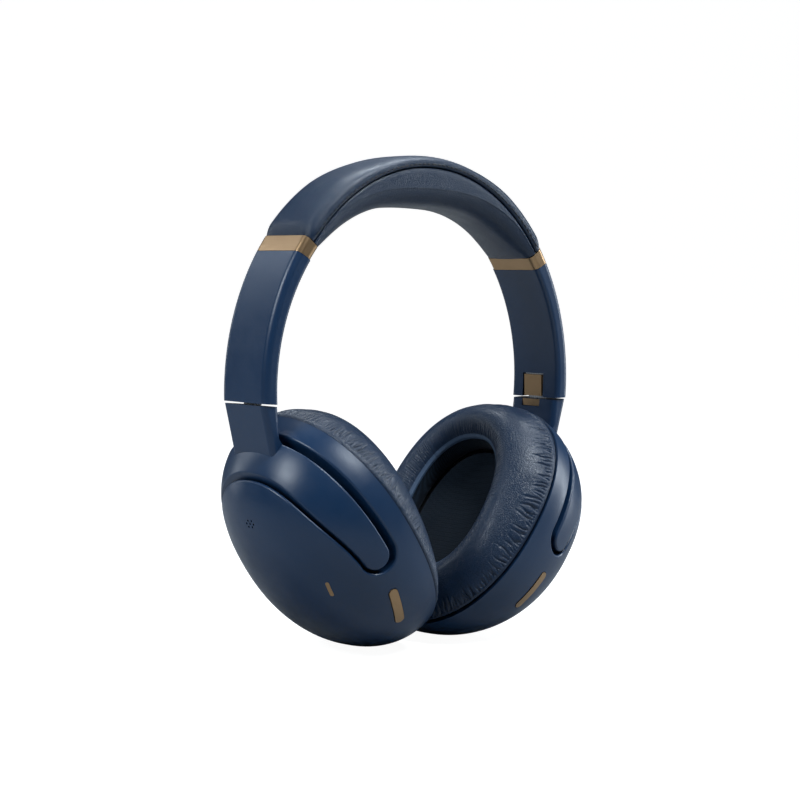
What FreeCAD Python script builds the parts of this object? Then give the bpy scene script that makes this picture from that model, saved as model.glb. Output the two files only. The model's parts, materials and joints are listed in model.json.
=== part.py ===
import FreeCAD, Part
import math
import os
import Sketcher
from FreeCAD import Placement, Rotation, Vector

# Over-ear headphones, millimetres. +Z is up, -Y is the wearer's front, +X the wearer's left.
# The origin is under the middle of the object, level with the lowest points of the ear cups.
# The left side is built once and mirrored in the plane X = 0 for the right side.

SIZES = {
    # headband arch: two ellipses, their centres a little above the arm ends
    "split_height": 95.8,
    "arch_half_width": 80.7,
    "arch_rise": 90.5,
    "arch_centre": 6.0,
    "arch_inner_half_width": 74.1,
    "arch_inner_rise": 79.0,
    "arch_inner_centre": 7.0,
    "arch_middle_half_width": 77.4,
    "arch_middle_rise": 84.9,
    "arch_middle_centre": 6.5,
    "arm_half_depth": 13.5,
    "arm_edge_round": 2.6,
    "crown_half_depth": 14.0,
    "crown_edge_round": 4.0,
    # trim ring between arm and crown
    "ring_low_x": 63.4,
    "ring_low_z": 55.65,
    "ring_low_angle": 29.4,
    "ring_high_x": 59.55,
    "ring_high_z": 61.05,
    "ring_high_angle": 39.0,
    "joint_line": 0.12,
    # layers of the crown, measured inward from the arch's outer face
    "cover_depth": 4.3,
    "frame_from": 2.5,
    "frame_to": 4.2,
    "spring_from": 3.3,
    "spring_to": 4.1,
    "frame_half_depth": 10.0,
    "spring_half_depth": 6.0,
    "spring_end_z": 37.0,
    "layer_clearance": 0.1,
    "cushion_reach": 58.4,
    "cushion_side_gap": 0.3,
    "cushion_edge_round": 4.0,
    "cable_radius": 0.45,
    "cable_offset_y": 8.2,
    # slider, swivel and stem, in a frame whose Z runs up the arm
    "stem_x": 76.0,
    "stem_lean": 3.0,
    "split_gap": 0.8,
    "strip_rise": 0.4,
    "bar_thickness": 1.5,
    "bar_width": 12.0,
    "bar_length": 27.5,
    "neck_width": 9.0,
    "channel_thickness": 2.8,
    "channel_width": 13.2,
    "channel_length": 33.0,
    "runner_thickness": 2.2,
    "runner_length": 6.0,
    "pin_radius": 1.2,
    "pin_length": 6.4,
    "bush_radius": 1.7,
    "bush_length": 5.8,
    "running_gap": 0.05,
    "tab_width": 10.0,
    "tab_offset_y": 1.0,
    "tab_height": 9.0,
    "tab_reach": 1.75,
    "tab_margin": 1.0,
    "low_tab_height": 3.0,
    "low_tab_thickness": 0.55,
    "stem_inner": -2.9,
    "stem_outer": 4.6,
    "stem_half_depth": 12.6,
    "stem_edge_round": 2.2,
    "stem_foot_gap": 0.25,
    # ear cup: a superelliptic shell on a tilted rim plane
    "cup_x": 32.7,
    "cup_below_split": 47.5,
    "cup_tilt": 35.4,
    "cup_half_length": 52.0,
    "cup_half_width": 44.2,
    "cup_exponent": 2.2,
    "dome_height": 40.6,
    "dome_wall_height": 3.4,
    "dome_power": 1.8,
    "dome_shoulder": 2.43,
    "dome_shift_up": 5.3,
    "dome_shift_front": 7.0,
    "dome_shift_power": 1.75,
    "shell_wall": 2.6,
    "edge_round": 0.8,
    # fork and the recess it lies in
    "fork_low": 12.2,
    "fork_high": 22.6,
    "fork_bulge": 3.9,
    "fork_gap": 1.0,
    "fork_tip": 4.0,
    "fork_inset": 4.6,
    "recess_low": 9.2,
    "recess_inset": 6.8,
    "cavity_inset": 8.8,
    "pivot_radius": 1.5,
    "pivot_length": 6.6,
    "pivot_front": 40.3,
    "pivot_rear": -37.2,
    # front of the cup
    "baffle_seat": 3.0,
    "baffle_inset": 2.2,
    "baffle_thickness": 2.4,
    "driver_radius": 20.0,
    "basket_depth": 6.5,
    "magnet_radius": 9.0,
    "magnet_height": 6.0,
    "diaphragm_height": 0.6,
    "damper_radius": 15.0,
    "damper_thickness": 2.0,
    "damper_height": 12.4,
    "board_length": 46.0,
    "board_width": 34.0,
    "board_thickness": 1.2,
    "board_height": 22.6,
    "microphone_radius": 2.6,
    "microphone_depth": 1.4,
    "microphone_height": 30.0,
    "switch_length": 5.0,
    "switch_width": 3.4,
    "switch_height": 2.0,
    "switch_back": 4.7,
    "battery_length": 40.0,
    "battery_width": 30.0,
    "battery_thickness": 6.0,
    "cushion_frame_thickness": 2.0,
    "cushion_frame_inset": 2.2,
    "cushion_depth": 13.3,
    "cushion_slope": 0.1,
    "cushion_hole_length": 29.0,
    "cushion_hole_width": 21.0,
    "screw_radius": 0.9,
    "screw_head_radius": 1.9,
    # button, trim and sockets
    "button_u": -20.3,
    "button_h": 18.3,
    "button_length": 18.0,
    "button_width": 3.6,
    "button_gap": 0.25,
    "button_proud": 0.3,
    "slit_u": 1.0,
    "slit_f": 30.3,
    "slit_length": 6.6,
    "slit_width": 1.2,
    "slit_turn": 6.0,
    "mic_u": 30.0,
    "mic_f": 5.2,
    "mic_row": 1.1,
    "mic_step": 2.1,
    "mic_hole_radius": 0.42,
    "socket_u": -46.9,
    "socket_f": -9.0,
    "socket_h": 12.0,
    "socket_radius": 3.4,
    "socket_bore": 1.8,
    "socket_length": 16.0,
    "socket_depth": 14.0,
    "port_width": 9.2,
    "port_height": 3.5,
    "port_length": 8.0,
    "port_depth": 6.6,
    "port_wall": 0.45,
    "tongue_width": 6.2,
    "tongue_thickness": 0.7,
    "fit_gap": 0.05,
}

document = FreeCAD.newDocument("over_ear_headphones")
sheet = document.addObject("Spreadsheet::Sheet", "Sizes")
for row, (alias, value) in enumerate(SIZES.items(), start=1):
    sheet.set(f"A{row}", alias.replace("_", " "))
    sheet.set(f"B{row}", str(value))
    sheet.setAlias(f"B{row}", alias)
document.recompute()

NODES = {}
LEFT_ONLY = ("battery_left", "audio_socket_left")


def size(alias):
    return float(sheet.get(alias))


# ---------------------------------------------------------------- helpers


def keep(item, label, placement=None):
    """Names a finished sub-part and sets where it stands."""
    item.Label = label
    if placement is not None:
        item.Placement = placement
    NODES[label] = item
    return item


def primitive(kind, name, placement=None, **bound):
    """A Part primitive whose properties follow expressions on the sheet."""
    item = document.addObject("Part::" + kind, name)
    if placement is not None:
        item.Placement = placement
    for key, expression in bound.items():
        item.setExpression(key, expression)
    return item


def at(x=0.0, y=0.0, z=0.0, axis=None, angle=0.0):
    turn = Rotation(axis, angle) if axis is not None else Rotation()
    return Placement(Vector(x, y, z), turn)


def feature(name, shape):
    """A Part::Feature for a free-form or composed shape."""
    item = document.addObject("Part::Feature", name)
    item.Shape = shape
    return item


def boolean(kind, name, base, tool):
    item = document.addObject("Part::" + kind, name)
    item.Base = base
    item.Tool = tool
    return item


def cut(name, base, *tools):
    for number, tool in enumerate(tools):
        base = boolean("Cut", f"{name}{number}", base, tool)
    return base


def fuse(name, first, *others):
    item = document.addObject("Part::MultiFuse", name)
    item.Shapes = [first, *others]
    return item


def common(name, base, tool):
    return boolean("Common", name, base, tool)


def middle(edge):
    return edge.valueAt((edge.FirstParameter + edge.LastParameter) / 2)


def rounded(name, base, radius, wanted):
    """Fillets the edges of base whose middle point passes the test."""
    document.recompute()
    numbers = [i for i, edge in enumerate(base.Shape.Edges, 1) if wanted(middle(edge))]
    item = document.addObject("Part::Fillet", name)
    item.Base = base
    item.Edges = [(number, radius, radius) for number in numbers]
    return item


def prism(name, points, half_depth):
    """A polygon in the XZ plane, extruded both ways along Y."""
    corners = [Vector(x, -half_depth, z) for x, z in points]
    face = Part.Face(Part.makePolygon(corners + corners[:1]))
    return feature(name, face.extrude(Vector(0, 2 * half_depth, 0)))


# ---------------------------------------------------------------- frames

SPLIT = size("split_height")
TILT = math.radians(size("cup_tilt"))
STEM = Placement(Vector(size("stem_x"), 0, SPLIT), Rotation(Vector(0, 1, 0), -size("stem_lean")))
CUP_UP = Vector(math.sin(TILT), 0, math.cos(TILT))
CUP_OUT = Vector(math.cos(TILT), 0, -math.sin(TILT))
CUP = Placement(
    Vector(size("cup_x"), 0, SPLIT - size("cup_below_split")),
    Rotation(CUP_UP, Vector(0, -1, 0), CUP_OUT, "ZXY"),
)


# ---------------------------------------------------------------- headband arch


def arch(name, half_width, rise, centre, half_depth):
    """A solid elliptic prism standing on its own centre height."""
    ellipse = document.addObject("Part::Ellipse", name + "Outline")
    ellipse.setExpression("MajorRadius", rise)
    ellipse.setExpression("MinorRadius", half_width)
    ellipse.Placement = Placement(
        Vector(0, 0, SPLIT + size(centre)),
        Rotation(Vector(0, 0, 1), Vector(1, 0, 0), Vector(0, 1, 0), "ZXY"),
    )
    solid = document.addObject("Part::Extrusion", name)
    solid.Base = ellipse
    solid.DirMode = "Custom"
    solid.Dir = Vector(0, 1, 0)
    solid.Solid = True
    solid.setExpression("LengthFwd", half_depth)
    solid.setExpression("LengthRev", half_depth)
    return solid


def layer(name, start, end, half_depth):
    """The band between two offsets, measured inward from the arch's outer face."""
    shells = []
    for tag, offset in (("Out", start), ("In", end)):
        shells.append(
            arch(
                name + tag,
                f"Sizes.arch_half_width - ({offset})",
                f"Sizes.arch_rise - ({offset})",
                "arch_centre",
                half_depth,
            )
        )
    return cut(name, *shells)


def band_line(end, along):
    """A point on a cross line of the band, at a distance along it from its middle."""
    angle = math.radians(size(f"ring_{end}_angle"))
    x = size(f"ring_{end}_x") + along * math.cos(angle)
    z = SPLIT + size(f"ring_{end}_z") + along * math.sin(angle)
    return x, z


def shifted(point, along_band):
    """The same point moved along the band, towards the crown."""
    angle = math.radians((size("ring_low_angle") + size("ring_high_angle")) / 2)
    return point[0] - along_band * math.sin(angle), point[1] + along_band * math.cos(angle)


def crown_region(name):
    inner, outer = band_line("high", -40), band_line("high", 30)
    top = SPLIT + 120
    right = [outer, inner]
    left = [(-x, z) for x, z in reversed(right)]
    return prism(name, right + left + [(left[1][0], top), (outer[0], top)], 40)


def ring_region(name):
    line = size("joint_line")
    low = [shifted(band_line("low", a), line) for a in (15, -15)]
    high = [shifted(band_line("high", a), -line) for a in (-15, 15)]
    return prism(name, low + high, 40)


def stem_point(x, z):
    """A point of the stem frame, in the object's frame."""
    spot = STEM.multVec(Vector(x, 0, z))
    return spot.x, spot.z


def cup_side_point(u, height):
    """A point of the cup frame, in the object's XZ plane."""
    spot = CUP.multVec(Vector(u, 0, height))
    return spot.x, spot.z


def arm_region(name):
    gap = size("split_gap") / 2
    bottom = [stem_point(-20, gap), stem_point(14, gap)]
    return prism(name, bottom + [band_line("low", 30), band_line("low", -15)], 40)


def on_arch(point, half_width, rise, centre):
    x = point.x / half_width
    z = (point.z - SPLIT - centre) / rise
    return abs(math.hypot(x, z) - 1) < 1e-3


def on_outer_edge(point, half_depth):
    values = (size("arch_half_width"), size("arch_rise"), size("arch_centre"))
    return abs(abs(point.y) - half_depth) < 1e-3 and on_arch(point, *values)


def on_inner_edge(point, half_depth):
    values = (
        size("arch_inner_half_width"),
        size("arch_inner_rise"),
        size("arch_inner_centre"),
    )
    return abs(abs(point.y) - half_depth) < 1e-3 and on_arch(point, *values)


def spring_slot(name):
    return layer(
        name,
        "Sizes.spring_from - 4 * Sizes.layer_clearance",
        "Sizes.spring_to + 4 * Sizes.layer_clearance",
        "Sizes.spring_half_depth + 6 * Sizes.layer_clearance",
    )


def build_crown():
    depth = size("crown_half_depth")
    shell = layer("CoverBand", "0", "Sizes.cover_depth", "Sizes.crown_half_depth")
    shell = common("CoverBlank", shell, crown_region("CrownRegion"))
    shell = rounded(
        "CoverRounded",
        shell,
        size("crown_edge_round"),
        lambda p: on_outer_edge(p, depth),
    )
    pocket = layer(
        "CoverPocket",
        "Sizes.frame_from - Sizes.layer_clearance",
        "Sizes.cover_depth + 1",
        "Sizes.frame_half_depth + Sizes.layer_clearance",
    )
    keep(cut("CrownCover", shell, pocket), "crown_cover", Placement())

    frame = layer(
        "FrameBand", "Sizes.frame_from", "Sizes.frame_to", "Sizes.frame_half_depth"
    )
    frame = common("FrameBlank", frame, crown_region("FrameRegion"))
    groove = layer(
        "FrameGroove",
        "Sizes.spring_from - Sizes.layer_clearance",
        "Sizes.frame_to + 1",
        "Sizes.spring_half_depth + Sizes.layer_clearance",
    )
    cable_groove = layer(
        "CableGroove",
        "Sizes.spring_from - Sizes.layer_clearance",
        "Sizes.frame_to + 1",
        "Sizes.cable_radius + 2 * Sizes.layer_clearance",
    )
    cable_groove.Placement = at(y=size("cable_offset_y"))
    keep(cut("CrownFrame", frame, groove, cable_groove), "crown_frame", Placement())

    spring = layer(
        "SpringBand", "Sizes.spring_from", "Sizes.spring_to", "Sizes.spring_half_depth"
    )
    low = SPLIT + size("spring_end_z")
    corners = [(-100, low), (100, low), (100, SPLIT + 120), (-100, SPLIT + 120)]
    spring = common("BandSpring", spring, prism("SpringRegion", corners, 40))
    keep(spring, "band_spring", Placement())

    keep(feature("BandCable", cable_shape()), "band_cable", Placement())
    keep(feature("CrownCushion", crown_cushion_shape()), "crown_cushion", Placement())


def arch_arc(offset, y, reach):
    """An arc of the offset arch over the crown, between two half widths."""
    half_width = size("arch_half_width") - offset
    rise = size("arch_rise") - offset
    centre = SPLIT + size("arch_centre")
    points = []
    for step in range(-6, 7):
        x = reach * step / 6
        z = centre + rise * math.sqrt(1 - (x / half_width) ** 2)
        points.append(Vector(x, y, z))
    curve = Part.BSplineCurve()
    curve.interpolate(points)
    return curve.toShape()


def cable_shape():
    offset = (size("spring_from") + size("spring_to")) / 2
    path = arch_arc(offset, size("cable_offset_y"), 56)
    start, along = path.valueAt(path.FirstParameter), path.tangentAt(path.FirstParameter)
    ring = Part.Wire([Part.makeCircle(size("cable_radius"), start, along)])
    return Part.Wire([path]).makePipeShell([ring], True, True)


def crown_cushion_shape():
    """The pad under the crown: flat in the middle, thinning towards the trim rings."""
    depth = size("crown_half_depth") - size("cushion_side_gap")
    top = arch_arc(size("cover_depth") + size("layer_clearance"), -depth, size("cushion_reach"))
    low_half = [(0, 77.5), (12, 77.0), (24, 75.4), (33, 72.3), (46, 65.0), (56, 58.2)]
    points = [(-x, z) for x, z in reversed(low_half[1:])] + low_half
    curve = Part.BSplineCurve()
    curve.interpolate([Vector(x, -depth, SPLIT + z) for x, z in points])
    low = curve.toShape()
    ends = [
        Part.makeLine(top.Vertexes[0].Point, low.Vertexes[0].Point),
        Part.makeLine(low.Vertexes[-1].Point, top.Vertexes[-1].Point),
    ]
    pad = Part.Face(Part.Wire([top, ends[0], low, ends[1]]))
    pad = pad.extrude(Vector(0, 2 * depth, 0))
    edges = [e for e in pad.Edges if e.Length > 60 and middle(e).z < SPLIT + 80]
    return pad.makeFillet(size("cushion_edge_round"), edges)


# ---------------------------------------------------------------- arms


def stem_box(name, x, y, z, thickness, width, height):
    """A box of the stem frame: centred in X and Y, standing on z."""
    item = document.addObject("Part::Box", name)
    item.Length, item.Width, item.Height = thickness, width, height
    offset = Vector(x - thickness / 2, y - width / 2, z)
    item.Placement = STEM.multiply(Placement(offset, Rotation()))
    return item


def arm_arch(name, which, extra=""):
    """One arch of the arm's section; which is empty, "middle_" or "inner_"."""
    return arch(
        name,
        f"Sizes.arch_{which}half_width",
        f"Sizes.arch_{which}rise",
        f"arch_{which}centre",
        "Sizes.arm_half_depth" + extra,
    )


def slider_channel():
    """The room inside the arm that the slider's strip runs in."""
    return stem_box(
        "SliderChannel",
        0,
        0,
        -5,
        size("channel_thickness"),
        size("channel_width"),
        size("channel_length") + 5,
    )


def tab_notch():
    """The opening in the inner shell's end for the slider's grip tab."""
    reach = 4.0
    return stem_box(
        "TabNotch",
        -reach / 2 - size("bar_thickness") / 2,
        size("tab_offset_y"),
        -5,
        reach,
        size("tab_width") + 2 * size("tab_margin"),
        size("split_gap") / 2 + size("tab_height") + size("tab_margin") + 5,
    )


def build_outer_shell(outer, centre, channel):
    depth = size("arm_half_depth")
    shell = common("OuterShellBlank", cut("OuterShellBand", outer, centre), arm_region("ArmRegionA"))
    shell = rounded(
        "OuterShellRounded",
        shell,
        size("arm_edge_round"),
        lambda p: on_outer_edge(p, depth),
    )
    shell = cut("OuterShell", shell, channel, spring_slot("OuterSlot"))
    keep(shell, "arm_outer_shell_left", Placement())


def build_inner_shell(centre, inner, channel, notch):
    depth = size("arm_half_depth")
    shell = common("InnerShellBlank", cut("InnerShellBand", centre, inner), arm_region("ArmRegionB"))
    shell = rounded(
        "InnerShellRounded",
        shell,
        size("arm_edge_round") * 0.7,
        lambda p: on_inner_edge(p, depth),
    )
    shell = cut("InnerShell", shell, channel, notch, spring_slot("InnerSlot"))
    keep(shell, "arm_inner_shell_left", Placement())


def build_trim_ring(outer, wide_inner):
    depth = size("arm_half_depth")
    ring = common("RingBlank", cut("RingBand", outer, wide_inner), ring_region("RingRegion"))
    ring = rounded(
        "RingRounded",
        ring,
        size("arm_edge_round"),
        lambda p: on_outer_edge(p, depth) or on_inner_edge(p, depth),
    )
    keep(cut("TrimRing", ring, spring_slot("RingSlot")), "trim_ring_left", Placement())


def build_arm():
    outer = arm_arch("ArmOuter", "")
    centre = arm_arch("ArmMiddle", "middle_")
    inner = arm_arch("ArmInner", "inner_")
    wide_inner = arm_arch("RingInner", "inner_", " + 1")
    channel = slider_channel()
    notch = tab_notch()
    build_outer_shell(outer, centre, channel)
    build_inner_shell(centre, inner, channel, notch)
    build_trim_ring(outer, wide_inner)


def build_slider():
    gap = size("split_gap") / 2
    neck_low = -gap + 2 * size("running_gap")
    bar = stem_box(
        "SliderStrip",
        0,
        0,
        gap + size("strip_rise"),
        size("bar_thickness"),
        size("bar_width"),
        size("bar_length"),
    )
    neck = stem_box(
        "SliderNeck",
        0,
        0,
        neck_low,
        size("bar_thickness"),
        size("neck_width"),
        gap + 0.6 - neck_low,
    )
    pin = primitive(
        "Cylinder",
        "SwivelPin",
        STEM.multiply(at(z=neck_low - size("pin_length"))),
        Radius="Sizes.pin_radius",
        Height="Sizes.pin_length + 0.2",
    )
    # strip, neck and swivel pin are one piece of steel
    keep(fuse("SliderBar", bar, neck, pin), "slider_bar_left", Placement())

    strip_top = gap + size("strip_rise") + size("bar_length")
    runner = stem_box(
        "RunnerBlank",
        0,
        0,
        strip_top - size("runner_length") / 2,
        size("runner_thickness"),
        size("bar_width") + 0.6,
        size("runner_length"),
    )
    keep(cut("SliderRunner", runner, bar), "slider_runner_left", Placement())

    tab = document.addObject("Part::Box", "SliderTab")
    tab.setExpression("Length", "Sizes.tab_reach - Sizes.bar_thickness / 2")
    tab.setExpression("Width", "Sizes.tab_width")
    tab.setExpression("Height", "Sizes.tab_height")
    side = size("tab_offset_y") - size("tab_width") / 2
    corner = Vector(-size("tab_reach"), side, gap + size("strip_rise"))
    keep(tab, "slider_tab_left", STEM.multiply(Placement(corner, Rotation())))


# ---------------------------------------------------------------- cup surfaces


def superellipse(half_length, half_width, shift_u, shift_f, height, slope=0.0):
    """A closed superelliptic outline in the cup frame, level or on a sloping plane."""
    power = 2 / size("cup_exponent")
    points = []
    for step in range(28):
        angle = math.pi + 2 * math.pi * step / 28
        c, s = math.cos(angle), math.sin(angle)
        u = half_length * math.copysign(abs(c) ** power, c) + shift_u
        f = half_width * math.copysign(abs(s) ** power, s) + shift_f
        points.append(Vector(u, f, height + slope * u))
    curve = Part.BSplineCurve()
    curve.interpolate(Points=points, PeriodicFlag=True)
    return Part.Wire([curve.toShape()])


def dome_section(height, inset):
    top, wall = size("dome_height"), size("dome_wall_height")
    rise = max(0.0, (height - wall) / (top - wall))
    scale = (1 - rise ** size("dome_power")) ** (1 / size("dome_shoulder"))
    drift = (height / top) ** size("dome_shift_power")
    return superellipse(
        size("cup_half_length") * scale - inset,
        size("cup_half_width") * scale - inset,
        size("dome_shift_up") * drift,
        size("dome_shift_front") * drift,
        height,
    )


def dome(levels, inset=0.0):
    """The cup's outer form, or a form inset from it, through the given heights."""
    return Part.makeLoft([dome_section(level, inset) for level in levels], True, False)


def full_dome(proud=0.0):
    """The whole outer form, closed at its highest point."""
    apex = Vector(size("dome_shift_up"), size("dome_shift_front"), size("dome_height"))
    sections = [dome_section(level, -proud) for level in OUTER_LEVELS]
    sections.append(Part.Vertex(apex + Vector(0, 0, proud)))
    return Part.makeLoft(sections, True, False)


OUTER_LEVELS = (0, 4, 8, 12, 16, 20, 24, 28, 32, 35, 37.2, 38.8, 39.8, 40.3, 40.53)
CORE_LEVELS = (4, 8, 12, 16, 20, 24, 28, 31)
INNER_LEVELS = (0, 8, 16, 24, 30, 34, 37)


def oval_plate(inset, low, high):
    """A level plate with the rim's outline, inset all round."""
    length, width = size("cup_half_length") - inset, size("cup_half_width") - inset
    outline = superellipse(length, width, 0, 0, low)
    return Part.Face(outline).extrude(Vector(0, 0, high - low))


def fork_strip(low, grow):
    """A strip with a round end, drawn in the cup's side view and run through its width.

    Its inner edge is straight; its outer edge bulges between the tip and the stem."""
    tip_u, high = size("fork_tip"), size("fork_high") + grow
    radius, centre = (high - low) / 2, (high + low) / 2
    bulge = size("fork_bulge")
    far, half = 80.0, 60.0
    shares = ((0.0, 0.0), (9.0, 0.38), (24.0, 1.0), (37.0, 0.8), (47.0, 0.15))
    edge = [Vector(tip_u + along, -half, high + share * bulge) for along, share in shares]
    curve = Part.BSplineCurve()
    curve.interpolate(
        Points=edge, InitialTangent=Vector(1, 0, 0.12), FinalTangent=Vector(1, 0, -0.45)
    )
    inner = [Vector(far, -half, centre), Vector(far, -half, low), Vector(tip_u, -half, low)]
    end = Part.Arc(inner[-1], Vector(tip_u - radius, -half, centre), edge[0])
    lines = [Part.makeLine(a, b) for a, b in zip([edge[-1]] + inner, inner)]
    wire = Part.Wire([curve.toShape()] + lines + [end.toShape()])
    return Part.Face(wire).extrude(Vector(0, 2 * half, 0))


def recess_tool():
    strip = fork_strip(size("recess_low"), size("fork_gap"))
    return strip.cut(dome(CORE_LEVELS, size("recess_inset")))


def stadium(length, width, depth):
    """A slot-shaped block, long in X, standing on Z = -depth and reaching Z = depth."""
    half = (length - width) / 2
    ends = [Vector(-half, width / 2, -depth), Vector(half, width / 2, -depth)]
    backs = [Vector(half, -width / 2, -depth), Vector(-half, -width / 2, -depth)]
    wire = Part.Wire(
        [
            Part.makeLine(ends[0], ends[1]),
            Part.Arc(ends[1], Vector(length / 2, 0, -depth), backs[0]).toShape(),
            Part.makeLine(backs[0], backs[1]),
            Part.Arc(backs[1], Vector(-length / 2, 0, -depth), ends[0]).toShape(),
        ]
    )
    return Part.Face(wire).extrude(Vector(0, 0, 2 * depth))


def on_dome(shape, point):
    return shape.distToShape(Part.Vertex(point))[0] < 1e-3


def side_spot(u, height):
    """The point and outward direction of the cup's front wall at (u, height)."""
    rise = (height - size("dome_wall_height")) / (
        size("dome_height") - size("dome_wall_height")
    )
    scale = (1 - rise ** size("dome_power")) ** (1 / size("dome_shoulder"))
    drift = (height / size("dome_height")) ** size("dome_shift_power")
    power = size("cup_exponent")
    reach = (u - size("dome_shift_up") * drift) / (size("cup_half_length") * scale)
    front = (1 - abs(reach) ** power) ** (1 / power)
    f = size("cup_half_width") * scale * front + size("dome_shift_front") * drift
    along = math.copysign(abs(reach) ** (power - 1), reach) / size("cup_half_length")
    across = front ** (power - 1) / size("cup_half_width")
    out = Vector(along, across, 0).normalize()
    return Vector(u, f, height), out


def button_frame():
    """A frame on the button: X along the pill, Z out of the wall."""
    spot, out = side_spot(size("button_u"), size("button_h"))
    lean = Vector(out.x, out.y, 0.22).normalize()
    along = Vector(-out.y, out.x, 0.0)
    along = (along - lean * along.dot(lean)).normalize()
    return Placement(spot, Rotation(along, lean.cross(along), lean, "ZXY"))


BUTTON = button_frame()


def button_hole():
    width = size("button_width") + 2 * size("button_gap")
    length = size("button_length") + 2 * size("button_gap")
    block = stadium(length, width, 9)
    block.Placement = BUTTON
    return block


def mic_holes():
    """Seven holes in rows of two, three and two, through the dome above the microphone."""
    row, step = size("mic_row"), size("mic_step")
    spots = [(side * row, half * step / 2) for side in (-1, 1) for half in (-1, 1)]
    spots += [(0.0, count * step) for count in (-1, 0, 1)]
    holes = []
    for u, f in spots:
        base = Vector(size("mic_u") + u, size("mic_f") + f, size("board_height") + 1.4)
        holes.append(Part.makeCylinder(size("mic_hole_radius"), 30, base))
    return holes


def slit_block(grow):
    block = stadium(size("slit_length") + 2 * grow, size("slit_width") + 2 * grow, 30)
    block.Placement = Placement(
        Vector(size("slit_u"), size("slit_f"), 30), Rotation(Vector(0, 0, 1), size("slit_turn"))
    )
    return block


def pivot_axis_point():
    centre = (size("fork_low") + size("fork_high")) / 2
    return Vector(size("fork_tip"), 0, centre)


def pivot_rods(radius, extra):
    """Two rods on the tilt axis, from inside each fork tip towards the cup's middle."""
    centre = pivot_axis_point()
    rods = []
    for outer_end, inward in ((size("pivot_front"), -1), (size("pivot_rear"), 1)):
        base = Vector(centre.x, outer_end - inward * extra, centre.z)
        length = size("pivot_length") + 2 * extra
        rods.append(Part.makeCylinder(radius, length, base, Vector(0, inward, 0)))
    return rods


# ---------------------------------------------------------------- yoke


def stem_shape():
    """The stem between the arm and the fork, its long edges rounded, in the object's frame."""
    gap, half = size("split_gap") / 2, size("stem_half_depth")
    foot = size("fork_low") + size("stem_foot_gap")
    outline = [
        stem_point(size("stem_inner"), -gap),
        stem_point(size("stem_outer"), -gap),
        cup_side_point(48.9, 18.2),
        cup_side_point(44.8, 19.0),
        cup_side_point(44.8, foot),
        cup_side_point(50.0, foot),
    ]
    corners = [Vector(x, -half, z) for x, z in outline]
    face = Part.Face(Part.makePolygon(corners + corners[:1]))
    block = face.extrude(Vector(0, 2 * half, 0))
    top = stem_point(0.0, -gap)[1]
    long_edges = [
        e for e in block.Edges if abs(abs(middle(e).y) - half) < 0.01 and e.BoundBox.ZMax > top - 0.5
    ]
    return block.makeFillet(size("stem_edge_round"), [e for e in long_edges if e.BoundBox.ZLength > 5])


def fork_shape():
    strip = fork_strip(size("fork_low"), 0.0)
    outer = full_dome()
    body = outer.common(strip).cut(dome(CORE_LEVELS, size("fork_inset")))
    return body, outer


def build_yoke():
    body, outer = fork_shape()
    rims = [e for e in body.Edges if on_dome(outer.Faces[0], middle(e))]
    body = body.makeFillet(size("edge_round"), rims)
    body = body.cut(pivot_rods(size("pivot_radius") + 0.02, 0.05))
    body.Placement = CUP
    fork = body.fuse(stem_shape()).removeSplitter()
    gap = size("split_gap") / 2
    bore = Part.makeCylinder(size("bush_radius") + 0.02, 7, Vector(0, 0, -gap - 6.6))
    bore.Placement = STEM
    fork = fork.cut(bore)
    tab = Part.makeBox(1.5, size("tab_width") + 0.2, size("low_tab_height") + 0.1)
    tab.Placement = STEM.multiply(
        at(
            size("stem_inner") - 1.5 + size("low_tab_thickness"),
            size("tab_offset_y") - size("tab_width") / 2 - 0.1,
            -gap - size("low_tab_height") - 0.1,
        )
    )
    keep(feature("YokeFork", fork.cut(tab)), "yoke_fork_left", Placement())

    trim = document.addObject("Part::Box", "StemTab")
    trim.setExpression("Length", "Sizes.low_tab_thickness - 0.02")
    trim.setExpression("Width", "Sizes.tab_width")
    trim.setExpression("Height", "Sizes.low_tab_height - 0.1")
    corner = Vector(
        size("stem_inner"),
        size("tab_offset_y") - size("tab_width") / 2,
        -gap - size("low_tab_height"),
    )
    keep(trim, "stem_tab_left", STEM.multiply(Placement(corner, Rotation())))

    sleeve = primitive(
        "Cylinder", "BushBlank", None, Radius="Sizes.bush_radius", Height="Sizes.bush_length"
    )
    hole = primitive(
        "Cylinder",
        "BushBore",
        None,
        Radius="Sizes.pin_radius + Sizes.running_gap",
        Height="Sizes.bush_length",
    )
    place = STEM.multiply(at(z=-gap - size("bush_length") - 0.1))
    keep(cut("SwivelBush", sleeve, hole), "swivel_bush_left", place)

    keep(feature("ForkPins", fork_pins_shape()), "fork_pins_left", CUP)


def fork_pins_shape():
    """A stub pin in each fork tip, reaching through the cup's wall."""
    return Part.makeCompound(pivot_rods(size("pivot_radius"), 0))


# ---------------------------------------------------------------- cup


def cup_shell_shape():
    outer = full_dome()
    shell = outer.cut(recess_tool())
    rims = [
        e
        for e in shell.Edges
        if 1 < middle(e).z < 30 and on_dome(outer.Faces[0], middle(e))
    ]
    shell = shell.makeFillet(size("edge_round"), rims)
    cavity = oval_plate(size("cavity_inset"), -1, 4).fuse(
        dome((4, 8, 12, 16, 20, 24, 28, 30), size("cavity_inset"))
    )
    upper = dome((29.6, 32, 34, 36, 37.6), size("shell_wall"))
    seat = oval_plate(size("baffle_inset") - 0.1, -1, size("baffle_seat"))
    shell = shell.cut(cavity.fuse(upper)).cut(seat)
    shell = shell.cut(pivot_rods(size("pivot_radius") + size("running_gap"), 2))
    shell = shell.cut(button_hole()).cut(slit_block(0.05))
    return shell.cut(mic_holes()).cut(screw_holes(0.8, size("baffle_seat"), 9))


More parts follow.
